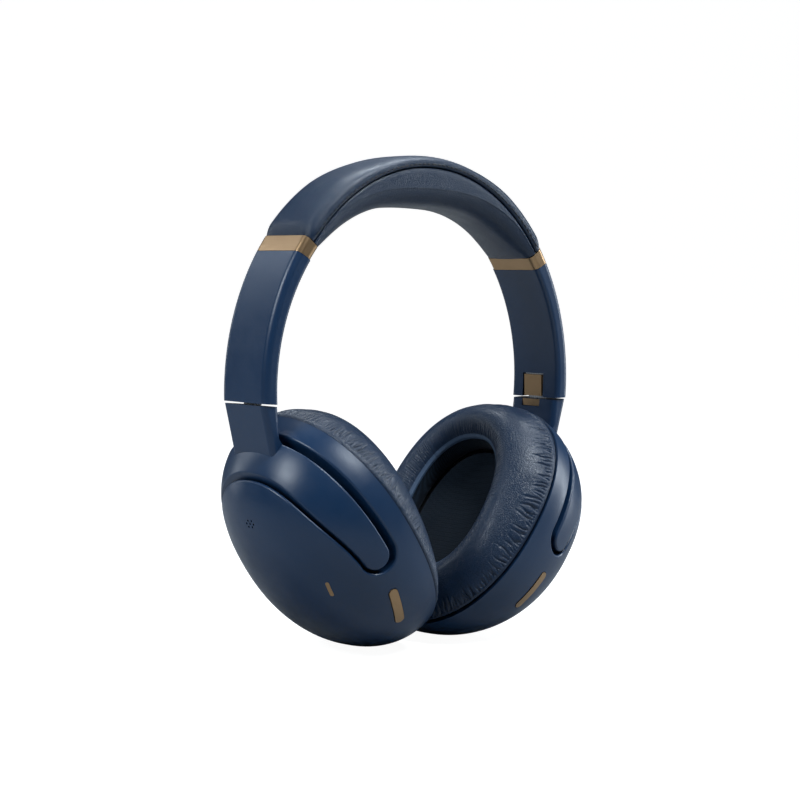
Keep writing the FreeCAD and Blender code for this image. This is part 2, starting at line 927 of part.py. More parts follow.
def screw_spots():
    """Four screws through the baffle's border, midway between the rim's diagonals."""
    inset = (size("baffle_inset") + size("cavity_inset")) / 2
    diagonal = math.sqrt(0.5) ** (2 / size("cup_exponent"))
    reach_u = (size("cup_half_length") - inset) * diagonal
    reach_f = (size("cup_half_width") - inset) * diagonal
    return [(su * reach_u, sf * reach_f) for su in (-1, 1) for sf in (-1, 1)]


def screw_holes(radius, low, high):
    holes = []
    for u, f in screw_spots():
        holes.append(Part.makeCylinder(radius, high - low, Vector(u, f, low)))
    return holes


def baffle_shape():
    plate = oval_plate(size("baffle_inset"), 0.4, 0.4 + size("baffle_thickness"))
    plate = plate.cut(Part.makeCylinder(size("driver_radius") - 0.5, 10, Vector(0, 0, -2)))
    plate = plate.cut(screw_holes(size("screw_radius") + 0.2, -2, 10))
    return plate.cut(screw_holes(size("screw_head_radius") + 0.15, -2, 1.5))


def screws_shape():
    """Four pan-head screws that hold the baffle to the shell."""
    screws = []
    for u, f in screw_spots():
        head = Part.makeCylinder(size("screw_head_radius"), 1.0, Vector(u, f, 0.5))
        shank = Part.makeCylinder(size("screw_radius") - 0.15, 6.4, Vector(u, f, 1.4))
        screws.append(head.fuse(shank).removeSplitter())
    return Part.makeCompound(screws)


def oval_ring(inset, hole_length, hole_width, low, high):
    hole = superellipse(hole_length, hole_width, 0, 0, low)
    hole = Part.Face(hole).extrude(Vector(0, 0, high - low))
    return oval_plate(inset, low, high).cut(hole)


def cushion_shape():
    """The pad: full at the top of the cup, lower where the two pads face each other."""
    base = -size("cushion_frame_thickness") - 0.05
    steps = ((0.0, 0.6), (0.25, 2.4), (0.5, 5.7), (0.75, 9.6), (1.0, 14.2))
    sections = []
    for share, inset in steps:
        sections.append(
            superellipse(
                size("cup_half_length") - inset,
                size("cup_half_width") - inset,
                0,
                0,
                base - share * size("cushion_depth"),
                -share * size("cushion_slope"),
            )
        )
    pad = Part.makeLoft(sections, True, False)
    hole = superellipse(size("cushion_hole_length"), size("cushion_hole_width"), 0, 0, 5)
    pad = pad.cut(Part.Face(hole).extrude(Vector(0, 0, -40)))
    tuck = size("cushion_frame_inset") - 0.1
    skirt = oval_plate(0.6, base, -0.12).cut(oval_plate(tuck, base - 1, 1))
    return pad.fuse(skirt).removeSplitter()


def button_cap_shape():
    proud = full_dome(size("button_proud"))
    behind = dome(INNER_LEVELS, 1.6)
    block = stadium(size("button_length"), size("button_width"), 8.9)
    block.Placement = BUTTON
    return proud.common(block).cut(behind)


def slit_trim_shape():
    band = full_dome(0.05).cut(dome(INNER_LEVELS, 1.0))
    return band.common(slit_block(0))


def socket_shape():
    """A round 3.5 mm audio socket whose mouth points down the cup's long axis."""
    base = Vector(size("socket_u"), size("socket_f"), size("socket_h"))
    up = Vector(1, 0, 0)
    barrel = Part.makeCylinder(size("socket_radius"), size("socket_length"), base, up)
    bore = Part.makeCylinder(size("socket_bore"), size("socket_depth"), base, up)
    return barrel.cut(bore)


def port_block(width, height, length, start_u):
    """A block with rounded sides lying along the cup's long axis."""
    block = stadium(width, height, length / 2)
    turn = Rotation(Vector(0, 1, 0), Vector(0, 0, 1), Vector(1, 0, 0), "ZXY")
    block.Placement = Placement(
        Vector(start_u + length / 2, size("socket_f"), size("socket_h")), turn
    )
    return block


def port_shape():
    """A charging port: an oval metal shell, closed behind, with a contact tongue."""
    mouth = size("socket_u")
    width, height, wall = size("port_width"), size("port_height"), size("port_wall")
    body = port_block(width, height, size("port_length"), mouth)
    inside = port_block(width - 2 * wall, height - 2 * wall, size("port_depth"), mouth)
    long, wide = size("port_depth") - 1.4, size("tongue_width")
    tongue = Part.makeBox(long + wall, wide, size("tongue_thickness"))
    tongue.Placement = at(
        mouth + 1.4,
        size("socket_f") - wide / 2,
        size("socket_h") - size("tongue_thickness") / 2,
    )
    return body.cut(inside).fuse(tongue).removeSplitter()


def socket_opening():
    """The hole in the cup's wall that the audio socket's barrel stands in."""
    start = Vector(size("socket_u") - 12, size("socket_f"), size("socket_h"))
    radius = size("socket_radius") + size("fit_gap")
    return Part.makeCylinder(radius, 12 + size("socket_length") + 1, start, Vector(1, 0, 0))


def port_opening():
    """The hole in the cup's wall that the charging port stands in."""
    gap = 2 * size("fit_gap")
    width, height = size("port_width") + gap, size("port_height") + gap
    return port_block(width, height, size("port_length") + 13, size("socket_u") - 12)


def body_box(name, length, width, height):
    """A PartDesign body: a sketched rectangle, centred, padded along Z."""
    body = document.addObject("PartDesign::Body", name)
    plane = [f for f in body.Origin.OriginFeatures if f.Role == "XY_Plane"][0]
    sketch = body.newObject("Sketcher::SketchObject", name + "Sketch")
    sketch.AttachmentSupport = [(plane, "")]
    sketch.MapMode = "FlatFace"
    ends = [Vector(-1, -1, 0), Vector(1, -1, 0), Vector(1, 1, 0), Vector(-1, 1, 0)]
    for start, end in zip(ends, ends[1:] + ends[:1]):
        sketch.addGeometry(Part.LineSegment(start, end), False)
    for side in range(4):
        following = (side + 1) % 4
        sketch.addConstraint(Sketcher.Constraint("Coincident", side, 2, following, 1))
    for side, kind in enumerate(("Horizontal", "Vertical", "Horizontal", "Vertical")):
        sketch.addConstraint(Sketcher.Constraint(kind, side))
    sketch.addConstraint(Sketcher.Constraint("Symmetric", 0, 1, 2, 1, -1, 1))
    wide = sketch.addConstraint(Sketcher.Constraint("DistanceX", 0, 1, 0, 2, 2.0))
    tall = sketch.addConstraint(Sketcher.Constraint("DistanceY", 1, 1, 1, 2, 2.0))
    sketch.setExpression(f"Constraints[{wide}]", length)
    sketch.setExpression(f"Constraints[{tall}]", width)
    pad = body.newObject("PartDesign::Pad", name + "Pad")
    pad.Profile = sketch
    pad.setExpression("Length", height)
    return body


def body_disc(name, radius, height, bore=None):
    """A PartDesign body: a sketched circle, or ring, padded along Z."""
    body = document.addObject("PartDesign::Body", name)
    plane = [f for f in body.Origin.OriginFeatures if f.Role == "XY_Plane"][0]
    sketch = body.newObject("Sketcher::SketchObject", name + "Sketch")
    sketch.AttachmentSupport = [(plane, "")]
    sketch.MapMode = "FlatFace"
    for number, value in enumerate([radius] + ([bore] if bore else [])):
        circle = Part.Circle(Vector(), Vector(0, 0, 1), 2.0 - number)
        sketch.addGeometry(circle, False)
        sketch.addConstraint(Sketcher.Constraint("Coincident", number, 3, -1, 1))
        index = sketch.addConstraint(Sketcher.Constraint("Radius", number, 2.0 - number))
        sketch.setExpression(f"Constraints[{index}]", value)
    pad = body.newObject("PartDesign::Pad", name + "Pad")
    pad.Profile = sketch
    pad.setExpression("Length", height)
    return body


def in_cup(u=0.0, f=0.0, height=0.0):
    return CUP.multiply(at(u, f, height))


# ---------------------------------------------------------------- cup assembly


def build_driver():
    """A dynamic driver: basket, magnet and diaphragm behind the baffle's opening."""
    basket = primitive(
        "Cylinder",
        "BasketBlank",
        None,
        Radius="Sizes.driver_radius + 2",
        Height="Sizes.basket_depth",
    )
    hollow = primitive(
        "Cylinder",
        "BasketHollow",
        None,
        Radius="Sizes.driver_radius - 0.3",
        Height="Sizes.basket_depth - 1.5",
    )
    magnet_hole = primitive(
        "Cylinder",
        "BasketHole",
        None,
        Radius="Sizes.magnet_radius + 0.02",
        Height="Sizes.basket_depth + 1",
    )
    place = in_cup(height=size("baffle_seat") + 0.05)
    keep(cut("DriverBasket", basket, hollow, magnet_hole), "driver_basket_left", place)
    magnet = body_disc("DriverMagnet", "Sizes.magnet_radius", "Sizes.magnet_height")
    keep(magnet, "driver_magnet_left", in_cup(height=size("baffle_seat") + 3.0))
    film = body_disc("Diaphragm", "Sizes.driver_radius - 0.35", "Sizes.diaphragm_height")
    keep(film, "driver_diaphragm_left", in_cup(height=size("baffle_seat") + 0.4))


def build_cup():
    shell = cup_shell_shape()
    keep(feature("CupShell", shell.cut(socket_opening())), "cup_shell_left", CUP)
    keep(feature("AudioSocket", socket_shape()), "audio_socket_left", CUP)
    mirrored(placed("PortShell", shell.cut(port_opening())), "cup_shell_right")
    mirrored(placed("ChargingPort", port_shape()), "charging_port_right")
    keep(feature("Baffle", baffle_shape()), "baffle_left", CUP)
    keep(feature("CupScrews", screws_shape()), "cup_screws_left", CUP)
    thickness, inset = size("cushion_frame_thickness"), size("cushion_frame_inset")
    hole = (size("cushion_hole_length") + 1.0, size("cushion_hole_width") + 1.0)
    keep(
        feature("CushionFrame", oval_ring(inset, *hole, -thickness, -0.05)),
        "cushion_frame_left",
        CUP,
    )
    screen = superellipse(hole[0] - 0.1, hole[1] - 0.1, 0, 0, -thickness + 0.3)
    screen = Part.Face(screen).extrude(Vector(0, 0, 0.8))
    keep(feature("EarScreen", screen), "ear_screen_left", CUP)
    keep(feature("EarCushion", cushion_shape()), "ear_cushion_left", CUP)
    build_driver()
    felt = body_disc("DamperPad", "Sizes.damper_radius", "Sizes.damper_thickness")
    keep(felt, "damper_pad_left", in_cup(height=size("damper_height")))
    board = body_box(
        "CircuitBoard", "Sizes.board_length", "Sizes.board_width", "Sizes.board_thickness"
    )
    keep(board, "circuit_board_left", in_cup(u=2, height=size("board_height")))
    can = body_disc("Microphone", "Sizes.microphone_radius", "Sizes.microphone_depth")
    spot = in_cup(size("mic_u") - 1.0, size("mic_f"), size("microphone_height"))
    keep(can, "microphone_left", spot)
    keep(feature("SlitTrim", slit_trim_shape()), "slit_trim_left", CUP)
    keep(feature("ButtonCap", button_cap_shape()), "button_left", CUP)
    switch = body_box(
        "ButtonSwitch", "Sizes.switch_length", "Sizes.switch_width", "Sizes.switch_height"
    )
    behind = BUTTON.multiply(at(z=-size("switch_back")))
    keep(switch, "button_switch_left", CUP.multiply(behind))


def build_battery():
    battery = body_box(
        "Battery", "Sizes.battery_length", "Sizes.battery_width", "Sizes.battery_thickness"
    )
    height = size("board_height") - size("battery_thickness") - 1.0
    keep(battery, "battery_left", in_cup(u=2, height=height))


def placed(name, shape):
    """A feature in the cup frame that is kept only through its mirror image."""
    item = feature(name, shape)
    item.Placement = CUP
    return item


def mirrored(source, label):
    item = document.addObject("Part::Mirroring", label)
    item.Source = source
    item.Base = Vector(0, 0, 0)
    item.Normal = Vector(1, 0, 0)
    return keep(item, label)


def mirror_left_side():
    """Gives every left sub-part that has no right twin yet its mirror image."""
    for label in [name for name in NODES if name.endswith("_left")]:
        twin = label.replace("_left", "_right")
        if label not in LEFT_ONLY and twin not in NODES:
            mirrored(NODES[label], twin)


def export_all():
    os.makedirs("parts", exist_ok=True)
    document.recompute()
    for item in document.Objects:
        if "Invalid" in item.State or "Error" in item.State:
            raise RuntimeError(f"{item.Name} failed: {item.State}")
    for label, item in NODES.items():
        if item.Shape.isNull() or not item.Shape.isValid():
            raise RuntimeError(f"{label} has no valid shape")
    for label, item in NODES.items():
        item.Shape.exportStep(f"parts/{label}.step")


build_crown()
build_arm()
build_slider()
build_yoke()
build_cup()
build_battery()
mirror_left_side()
export_all()
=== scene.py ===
import json
import math
import random

import bmesh
import bpy
import numpy as np
from mathutils import Matrix, Vector


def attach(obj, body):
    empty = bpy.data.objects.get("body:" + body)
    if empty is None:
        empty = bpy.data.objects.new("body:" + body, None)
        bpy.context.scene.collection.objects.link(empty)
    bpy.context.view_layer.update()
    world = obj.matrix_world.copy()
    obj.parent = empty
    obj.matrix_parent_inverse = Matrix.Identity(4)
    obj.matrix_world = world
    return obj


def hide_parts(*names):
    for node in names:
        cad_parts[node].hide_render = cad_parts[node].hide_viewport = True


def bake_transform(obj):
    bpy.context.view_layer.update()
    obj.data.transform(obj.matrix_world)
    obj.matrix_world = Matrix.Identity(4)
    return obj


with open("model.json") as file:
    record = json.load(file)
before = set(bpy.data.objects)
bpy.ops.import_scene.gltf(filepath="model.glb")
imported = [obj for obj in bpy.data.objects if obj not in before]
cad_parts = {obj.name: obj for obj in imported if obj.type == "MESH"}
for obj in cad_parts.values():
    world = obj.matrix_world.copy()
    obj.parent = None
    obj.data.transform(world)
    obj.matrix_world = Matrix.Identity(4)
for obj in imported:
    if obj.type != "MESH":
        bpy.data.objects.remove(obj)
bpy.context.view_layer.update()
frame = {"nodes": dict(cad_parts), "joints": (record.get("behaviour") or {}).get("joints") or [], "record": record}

# Over-ear headphones: navy leatherette and satin plastic with bronze trim.
# Lengths in this file are millimetres unless a name says otherwise; MM turns them into metres.

MM = 0.001
SIDES = {"left": 1.0, "right": -1.0}
JOINTS = {joint["name"]: joint for joint in frame["joints"]}
MOUNTS = {mount["name"]: mount for mount in frame["record"]["mounts"]}
SLOTS = {part["node"]: part["material_slot"] for part in frame["record"]["subparts"]}

# headband arch: the outer face is half an ellipse, seen from the front
SPLIT = JOINTS["swivel_left"]["pos_m"][2] / MM
ARCH_HALF_WIDTH = 80.7
ARCH_RISE = 90.5
ARCH_CENTRE = SPLIT + 6.0
CROWN_END = math.radians(50.5)
CROWN_SKEW = math.radians(2.7)
CROWN_HALF_DEPTH = 14.0
SEAM_DEPTH = 3.1
COVER_DEPTH = 4.3
CUSHION_UNDERSIDE = ((0, 77.5), (12, 77.0), (24, 75.4), (33, 72.3), (46, 65.0), (56, 58.2))

# edges sharper than this many degrees stay sharp
CAD_SHARP = 32.0
SOFT_SHARP = 50.0
ROUND_SHARP = 60.0

# cup frame: U up the cup, F to the front, H outward from the rim plane
CUP_UP = -Vector(MOUNTS["audio_socket"]["axis"])
CUP_OUT = Vector((CUP_UP.z, 0, -CUP_UP.x))
CUP_FRONT = Vector((0, -1, 0))
TILT_PIN = (4.0, 0.0, 17.4)
CUP_ORIGIN = (
    Vector(JOINTS["tilt_left"]["pos_m"]) / MM - CUP_UP * TILT_PIN[0] - CUP_OUT * TILT_PIN[2]
)
CUP_HALF_LENGTH = 52.0
CUP_HALF_WIDTH = 44.2
CUP_EXPONENT = 2.2
HOLE_HALF_LENGTH = 29.0
HOLE_HALF_WIDTH = 21.0
PAD_BASE = -2.05
PAD_DEPTH = 12.6
PAD_SLOPE = 0.1


# ---------------------------------------------------------------- materials


class Shader:
    """A Principled material whose colour, roughness and bump come from procedural nodes."""

    def __init__(self, name, roughness=0.5, metallic=0.0, **inputs):
        self.material = bpy.data.materials.new(name)
        self.material.use_nodes = True
        self.nodes = self.material.node_tree.nodes
        self.links = self.material.node_tree.links
        self.surface = self.nodes["Principled BSDF"]
        self.surface.inputs["Roughness"].default_value = roughness
        self.surface.inputs["Metallic"].default_value = metallic
        for key, value in inputs.items():
            self.surface.inputs[key.replace("_", " ")].default_value = value
        self.place = self.node("ShaderNodeTexCoord").outputs["Object"]
        self.normal = None

    def feed(self, socket, value):
        """Links another node's output to the socket, or sets a plain value."""
        if isinstance(value, bpy.types.NodeSocket):
            self.links.new(value, socket)
        else:
            socket.default_value = value

    def node(self, kind, **inputs):
        """A new node; an input's name is written with _ for each space."""
        item = self.nodes.new(kind)
        for key, value in inputs.items():
            self.feed(item.inputs[key.replace("_", " ")], value)
        return item

    def noise(self, size, detail=2.0, vector=None):
        """Soft noise whose blotches are about size millimetres across."""
        item = self.node(
            "ShaderNodeTexNoise", Vector=vector or self.place, Scale=1 / (size * MM), Detail=detail
        )
        return item.outputs["Fac"]

    def cells(self, size):
        """Distance to the edge of irregular cells about size millimetres across."""
        item = self.node("ShaderNodeTexVoronoi", Vector=self.warped(size * 2, size * 0.35))
        item.feature = "DISTANCE_TO_EDGE"
        item.inputs["Scale"].default_value = 1 / (size * MM)
        return item.outputs["Distance"]

    def warped(self, size, reach):
        """The object coordinates, pushed about by noise so that patterns are not straight."""
        colour = self.node("ShaderNodeTexNoise", Vector=self.place, Scale=1 / (size * MM))
        centred = self.vector_math("SUBTRACT", colour.outputs["Color"], (0.5, 0.5, 0.5))
        small = self.vector_math("MULTIPLY", centred, (reach * MM * 2,) * 3)
        return self.vector_math("ADD", self.place, small)

    def operator(self, kind, operation, first, second):
        item = self.nodes.new(kind)
        item.operation = operation
        self.feed(item.inputs[0], first)
        self.feed(item.inputs[1], second)
        return item

    def vector_math(self, operation, first, second):
        return self.operator("ShaderNodeVectorMath", operation, first, second).outputs["Vector"]

    def math(self, operation, first, second):
        return self.operator("ShaderNodeMath", operation, first, second).outputs["Value"]

    def span(self, value, low, high, start=0.0, end=1.0):
        """Maps low..high onto start..end, clamped."""
        item = self.node(
            "ShaderNodeMapRange",
            Value=value,
            From_Min=low,
            From_Max=high,
            To_Min=start,
            To_Max=end,
        )
        return item.outputs["Result"]

    def mix(self, factor, first, second):
        """A blend of two colours, each a node's output or a plain red, green and blue."""
        item = self.nodes.new("ShaderNodeMix")
        item.data_type = "RGBA"
        factor_socket, first_socket, second_socket = (item.inputs[i] for i in (0, 6, 7))
        self.feed(factor_socket, factor)
        for socket, value in ((first_socket, first), (second_socket, second)):
            self.feed(socket, (*value, 1.0) if isinstance(value, tuple) else value)
        return item.outputs[2]

    def colour(self, output):
        self.links.new(output, self.surface.inputs["Base Color"])

    def roughness(self, output):
        self.links.new(output, self.surface.inputs["Roughness"])

    def bump(self, height, depth):
        """Adds relief: depth is its full height in millimetres."""
        item = self.node("ShaderNodeBump", Height=height, Distance=depth * MM)
        if self.normal is not None:
            self.links.new(self.normal, item.inputs["Normal"])
        self.normal = item.outputs["Normal"]
        self.links.new(self.normal, self.surface.inputs["Normal"])

    def shaded(self, colour, reach, strength):
        """The colour with painted shade: darkened towards near black in gaps narrower than reach millimetres."""
        item = self.node("ShaderNodeAmbientOcclusion", Distance=reach * MM)
        item.samples = 8
        open_air = self.span(item.outputs["AO"], 0.15, 0.75)
        dark = self.mix(strength, colour, (0.001, 0.0015, 0.002))
        return self.mix(open_air, dark, colour)


def satin_plastic(name, dark, light, roughness):
    """Moulded plastic: very fine spark-eroded grain and slow colour drift."""
    shader = Shader(name, Specular_IOR_Level=0.5)
    drift = shader.mix(shader.noise(38.0), dark, light)
    speck = shader.mix(shader.span(shader.noise(0.25), 0.35, 0.75, 0.0, 0.25), drift, light)
    # painted shade: the colour darkens almost to black in gaps and recesses narrower than 3.5 mm
    shader.colour(shader.shaded(speck, reach=3.5, strength=0.97))
    shader.roughness(shader.span(shader.noise(6.0, 4.0), 0.3, 0.7, roughness - 0.03, roughness + 0.04))
    shader.bump(shader.noise(0.22, 3.0), depth=0.012)
    shader.bump(shader.noise(24.0), depth=0.03)
    return shader.material


def leatherette(name, dark, light, grain=0.75, relief=0.05):
    """Embossed imitation leather: rounded grain, fine creases and a soft sheen."""
    shader = Shader(name, Specular_IOR_Level=0.5)
    edge = shader.span(shader.cells(grain), 0.0, 0.16)
    tone = shader.mix(shader.noise(26.0, 3.0), dark, light)
    # painted shade: the colour darkens in seams and creases narrower than 1.3 mm
    shader.colour(shader.shaded(shader.mix(edge, dark, tone), reach=1.3, strength=0.9))
    wear = shader.noise(9.0, 5.0)
    shader.roughness(shader.span(wear, 0.3, 0.7, 0.30, 0.40))
    shader.bump(edge, depth=relief)
    shader.bump(shader.noise(0.3, 2.0), depth=relief * 0.35)
    shader.bump(shader.noise(7.0, 4.0), depth=0.12)
    return shader.material


def bronze(name):
    """Satin bronze coating with a faint drawn grain."""
    shader = Shader(name, metallic=0.9)
    stretched = shader.vector_math("MULTIPLY", shader.place, (1.0, 0.06, 1.0))
    grain = shader.noise(0.35, 3.0, stretched)
    tone = shader.mix(shader.noise(12.0), (0.35, 0.225, 0.122), (0.43, 0.28, 0.155))
    # painted shade: the colour darkens in gaps narrower than 1 mm
    shader.colour(shader.shaded(tone, reach=1.0, strength=0.6))
    shader.roughness(shader.span(grain, 0.3, 0.7, 0.30, 0.42))
    shader.bump(grain, depth=0.006)
    return shader.material


def cloth(name, dark, light, thread=0.55):
    """Plain weave: two crossed sets of threads with fluff between them."""
    shader = Shader(name, roughness=0.95, Specular_IOR_Level=0.2, Sheen_Weight=0.04)
    waves = []
    for direction in ("X", "Y", "Z"):
        wave = shader.node("ShaderNodeTexWave", Vector=shader.warped(3.0, 0.12))
        wave.bands_direction = direction
        wave.inputs["Scale"].default_value = 0.31 / (thread * MM)
        waves.append(wave.outputs["Fac"])
    weave = shader.math("MULTIPLY", waves[1], shader.math("MAXIMUM", waves[0], waves[2]))
    fluff = shader.math("MULTIPLY", shader.noise(0.2), 0.5)
    height = shader.math("ADD", weave, fluff)
    tone = shader.mix(shader.span(height, 0.1, 1.1), dark, light)
    # painted shade: the colour darkens a little in gaps narrower than 3 mm
    shader.colour(shader.shaded(tone, reach=3.0, strength=0.35))
    shader.bump(height, depth=0.12)
    return shader.material


def thread(name, dark, light):
    """Twisted sewing thread."""
    shader = Shader(name, roughness=0.7, Sheen_Weight=0.2)
    twist = shader.noise(0.25, 3.0)
    shader.colour(shader.mix(twist, dark, light))
    shader.bump(twist, depth=0.06)
    return shader.material


def brushed(name, dark, light, roughness=0.3):
    """Brushed metal: streaks along the strip and a little staining."""
    shader = Shader(name, metallic=1.0)
    streaks = shader.noise(0.3, 4.0, shader.vector_math("MULTIPLY", shader.place, (1, 1, 0.04)))
    stain = shader.noise(8.0, 3.0)
    shader.colour(shader.mix(shader.math("MULTIPLY", streaks, stain), dark, light))
    shader.roughness(shader.span(streaks, 0.3, 0.7, roughness - 0.08, roughness + 0.12))
    shader.bump(streaks, depth=0.01)
    return shader.material


def gloss_plastic(name, dark, light, roughness=0.2):
    """Glossy plastic with slow waviness and a few fine scuffs."""
    shader = Shader(name, Specular_IOR_Level=0.5)
    scuff = shader.noise(0.4, 6.0)
    shader.colour(shader.mix(shader.noise(5.0), dark, light))
    shader.roughness(shader.span(scuff, 0.45, 0.75, roughness, roughness + 0.2))
    shader.bump(shader.noise(6.0), depth=0.02)
    return shader.material


def solder_mask(name):
    """Circuit board: glossy green mask over raised tracks."""
    shader = Shader(name, roughness=0.25)
    tracks = shader.node("ShaderNodeTexBrick", Vector=shader.place, Scale=1 / (4 * MM))
    copper = shader.math("SUBTRACT", 1.0, tracks.outputs["Fac"])
    shader.colour(shader.mix(copper, (0.02, 0.10, 0.04), (0.01, 0.06, 0.025)))
    shader.bump(copper, depth=0.05)
    return shader.material


def felt(name):
    """Matted fibres."""
    shader = Shader(name, roughness=1.0, Sheen_Weight=0.4)
    fibre = shader.noise(0.5, 8.0)
    shader.colour(shader.mix(fibre, (0.02, 0.02, 0.022), (0.10, 0.10, 0.11)))
    shader.bump(fibre, depth=0.3)
    return shader.material


NAVY_DARK = (0.0055, 0.0260, 0.072)
NAVY_LIGHT = (0.0085, 0.0360, 0.096)
LEATHER_DARK = (0.0032, 0.0165, 0.046)
LEATHER_LIGHT = (0.0056, 0.0260, 0.070)

MATERIALS = {
    "navy_plastic": satin_plastic("NavySatinPlastic", NAVY_DARK, NAVY_LIGHT, 0.34),
    "navy_leatherette": leatherette("NavyLeatherette", LEATHER_DARK, LEATHER_LIGHT),
    "inner_plastic": satin_plastic("BlackPlastic", (0.010, 0.011, 0.014), (0.016, 0.017, 0.021), 0.5),
    "bronze_trim": bronze("BronzeCoating"),
    "spring_steel": brushed("BrushedSteel", (0.35, 0.36, 0.38), (0.60, 0.61, 0.63)),
    "bush_brass": brushed("TurnedBrass", (0.50, 0.36, 0.14), (0.72, 0.55, 0.25)),
    "cable_jacket": gloss_plastic("CableJacket", (0.008, 0.008, 0.009), (0.02, 0.02, 0.022), 0.5),
    "dark_cloth": cloth("AcousticCloth", (0.002, 0.005, 0.010), (0.009, 0.020, 0.036)),
    "magnet_metal": brushed("NickelPlate", (0.55, 0.55, 0.57), (0.75, 0.75, 0.77), 0.2),
    "diaphragm_film": gloss_plastic("DiaphragmFilm", (0.10, 0.10, 0.12), (0.20, 0.20, 0.23)),
    "felt": felt("GreyFelt"),
    "board_laminate": solder_mask("SolderMask"),
    "black_trim": gloss_plastic("BlackTrim", (0.004, 0.004, 0.005), (0.012, 0.012, 0.014)),
    "battery_wrap": gloss_plastic("BatteryFoil", (0.25, 0.26, 0.28), (0.36, 0.37, 0.39), 0.35),
}
PIPING = satin_plastic("NavyPiping", (0.060, 0.100, 0.170), (0.075, 0.120, 0.200), 0.45)
STITCH = thread("DarkThread", (0.001, 0.002, 0.005), (0.004, 0.008, 0.016))


def dress_cad_nodes():
    """Every CAD node takes its record slot's material and smooth shading with sharp edges kept."""
    for name, item in frame["nodes"].items():
        item.data.materials.clear()
        item.data.materials.append(MATERIALS[SLOTS[name]])
        smooth(item, CAD_SHARP)


def smooth(item, angle):
    """Smooth shading, except across edges sharper than the angle in degrees."""
    item.data.polygons.foreach_set("use_smooth", [True] * len(item.data.polygons))
    item.data.set_sharp_from_angle(angle=math.radians(angle))


# ---------------------------------------------------------------- meshes


def make_piece(name, points, faces, *materials):
    """A mesh object from points in millimetres."""
    mesh = bpy.data.meshes.new(name)
    mesh.from_pydata([tuple(Vector(p) * MM) for p in points], [], faces)
    mesh.validate()
    item = bpy.data.objects.new(name, mesh)
    bpy.context.scene.collection.objects.link(item)
    for material in materials:
        mesh.materials.append(material)
    tidy_normals(item)
    return item


def tidy_normals(item):
    work = bmesh.new()
    work.from_mesh(item.data)
    bmesh.ops.recalc_face_normals(work, faces=work.faces)
    work.to_mesh(item.data)
    work.free()


def grid_faces(rows, columns, wrap_rows):
    """Quads between rows of points; every row is a closed loop of columns."""
    faces = []
    for row in range(rows if wrap_rows else rows - 1):
        following = (row + 1) % rows
        for column in range(columns):
            beside = (column + 1) % columns
            faces.append(
                (
                    row * columns + column,
                    row * columns + beside,
                    following * columns + beside,
                    following * columns + column,
                )
            )
    return faces


def subdivided(item, levels):
    """Bakes a subdivision surface into the mesh."""
    modifier = item.modifiers.new("Subdivision", "SUBSURF")
    modifier.levels = levels
    modifier.render_levels = levels
    bake(item)


def bake(item):
    """Replaces the mesh by its evaluated one and drops the modifiers."""
    bpy.context.view_layer.update()
    seen = item.evaluated_get(bpy.context.evaluated_depsgraph_get())
    mesh = bpy.data.meshes.new_from_object(seen)
    item.modifiers.clear()
    item.data = mesh


def read_points(mesh):
    points = np.zeros(len(mesh.vertices) * 3)
    mesh.vertices.foreach_get("co", points)
    return points.reshape(-1, 3) / MM


def write_points(mesh, points):
    mesh.vertices.foreach_set("co", (points * MM).ravel())
    mesh.update()


def read_normals(mesh):
    normals = np.zeros(len(mesh.vertices) * 3)
    mesh.vertex_normals.foreach_get("vector", normals)
    return normals.reshape(-1, 3)


CLOTH_FRAMES = 20
CLOTH_FEEL = {
    "quality": 6,
    "mass": 0.2,
    "tension_stiffness": 18,
    "compression_stiffness": 18,
    "shear_stiffness": 8,
    "bending_stiffness": 1.2,
}


def puff(item, pinned, pressure, cap):
    """Inflates a closed piece as cloth; no point moves further than cap millimetres."""
    rest = read_points(item.data)
    group = item.vertex_groups.new(name="pinned")
    group.add([int(i) for i in pinned], 1.0, "REPLACE")
    modifier = item.modifiers.new("Cloth", "CLOTH")
    settings = modifier.settings
    settings.vertex_group_mass = "pinned"
    settings.use_pressure = True
    settings.uniform_pressure_force = pressure
    settings.effector_weights.gravity = 0.0
    for key, value in CLOTH_FEEL.items():
        setattr(settings, key, value)
    modifier.collision_settings.use_collision = False
    modifier.point_cache.frame_start = 1
    modifier.point_cache.frame_end = CLOTH_FRAMES
    for number in range(1, CLOTH_FRAMES + 1):
        bpy.context.scene.frame_set(number)
    seen = item.evaluated_get(bpy.context.evaluated_depsgraph_get())
    moved = read_points(seen.to_mesh()) - rest
    item.modifiers.clear()
    item.vertex_groups.clear()
    bpy.context.scene.frame_set(1)
    length = np.linalg.norm(moved, axis=1)
    scale = cap * np.tanh(length / cap) / np.maximum(length, 1e-9)
    write_points(item.data, rest + moved * scale[:, None])


def smoothstep(value, low, high):
    share = np.clip((value - low) / (high - low), 0, 1)
    return share * share * (3 - 2 * share)


# ---------------------------------------------------------------- headband


def arch_point(turn):
    """A point on the arch's outer face, turned from the top."""
    return np.array([ARCH_HALF_WIDTH * math.sin(turn), ARCH_CENTRE + ARCH_RISE * math.cos(turn)])


def inward_at(turn):
    """The direction across the band, leaning to meet the slanted trim ring."""
    out = np.array([math.sin(turn) / ARCH_HALF_WIDTH, math.cos(turn) / ARCH_RISE])
    angle = math.atan2(out[1], out[0]) + CROWN_SKEW * turn / CROWN_END
    return -np.array([math.cos(angle), math.sin(angle)])


def underside_curve():
    """A dense smooth curve through the cushion's underside, right half, level at the middle."""
    x, z = np.array(CUSHION_UNDERSIDE, float).T
    fine = np.linspace(0, 60, 600)
    return np.stack([fine, SPLIT + np.polyval(np.polyfit(x**2, z, 4), fine**2)], axis=1)


UNDERSIDE = underside_curve()


def crown_thickness(turn):
    """The distance from the arch's face to the cushion's underside, across the band."""
    start, along = arch_point(abs(turn)), inward_at(abs(turn))
    offsets = UNDERSIDE - start
    aside = np.abs(offsets[:, 0] * along[1] - offsets[:, 1] * along[0])
    best = int(np.argmin(aside))
    return float(offsets[best] @ along)


